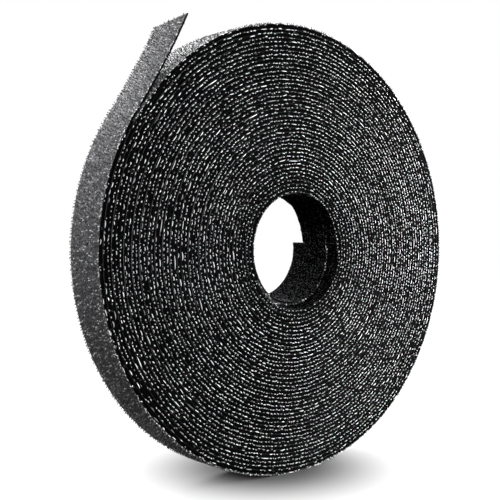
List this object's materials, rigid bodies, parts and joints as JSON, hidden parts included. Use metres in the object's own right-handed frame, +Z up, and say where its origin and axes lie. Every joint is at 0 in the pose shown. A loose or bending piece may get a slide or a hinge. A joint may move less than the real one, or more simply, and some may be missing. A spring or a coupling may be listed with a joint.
{
  "type": "hook and loop tape roll",
  "caption": "Coreless roll of black double-sided hook and loop tape, standing on its edge, with a springy outer tail and a loose inner end; lengths are cut off to bundle cables and goods.",
  "frame": {"origin": "centre of the flat on which the roll stands, on the floor under the roll's axis", "axes": "+Z up; +Y along the roll's axis, away from the front face; +X to the right as seen from the front"},
  "size_m": [0.1821, 0.02, 0.1801],
  "materials": {
    "hook_ply": "moulded hooks with a dull sheen",
    "loop_ply": "brushed knitted pile"
  },
  "bodies": {
    "roll": {"hook_winding": "hook_ply", "loop_winding": "loop_ply"},
    "tail_1": {"tail_hook_1": "hook_ply", "tail_loop_1": "loop_ply"},
    "tail_2": {"tail_hook_2": "hook_ply", "tail_loop_2": "loop_ply"},
    "tail_3": {"tail_hook_3": "hook_ply", "tail_loop_3": "loop_ply"},
    "inner_end_1": {"inner_end_hook_1": "hook_ply", "inner_end_loop_1": "loop_ply"},
    "inner_end_2": {"inner_end_hook_2": "hook_ply", "inner_end_loop_2": "loop_ply"},
    "inner_end_3": {"inner_end_hook_3": "hook_ply", "inner_end_loop_3": "loop_ply"}
  },
  "joints": [
    {"name": "tail_bend_1", "type": "hinge", "parent": "roll", "child": "tail_1", "pos_m": [-0.07528, 0, 0.14176], "axis": [0, -1, 0], "range_deg": [-5.2, 14.2], "stiffness_Nm_per_rad": 0.05},
    {"name": "tail_bend_2", "type": "hinge", "parent": "tail_1", "child": "tail_2", "pos_m": [-0.06764, 0, 0.15349], "axis": [0, -1, 0], "range_deg": [-10.92, 29.82]},
    {"name": "tail_bend_3", "type": "hinge", "parent": "tail_2", "child": "tail_3", "pos_m": [-0.06038, 0, 0.16545], "axis": [0, -1, 0], "range_deg": [-10.92, 29.82]},
    {"name": "inner_end_bend_1", "type": "hinge", "parent": "roll", "child": "inner_end_1", "pos_m": [-0.01615, 0, 0.0737], "axis": [0, -1, 0], "range_deg": [-6, 14], "stiffness_Nm_per_rad": 0.05},
    {"name": "inner_end_bend_2", "type": "hinge", "parent": "inner_end_1", "child": "inner_end_2", "pos_m": [-0.00106, 0, 0.06913], "axis": [0, -1, 0], "range_deg": [-6, 14]},
    {"name": "inner_end_bend_3", "type": "hinge", "parent": "inner_end_2", "child": "inner_end_3", "pos_m": [0.01267, 0, 0.07688], "axis": [0, -1, 0], "range_deg": [-6, 14]}
  ],
  "couplings": [
    {"joint": "tail_bend_2", "follows": "tail_bend_1", "ratio": 2.1},
    {"joint": "tail_bend_3", "follows": "tail_bend_1", "ratio": 2.1},
    {"joint": "inner_end_bend_2", "follows": "inner_end_bend_1", "ratio": 1},
    {"joint": "inner_end_bend_3", "follows": "inner_end_bend_1", "ratio": 1}
  ]
}
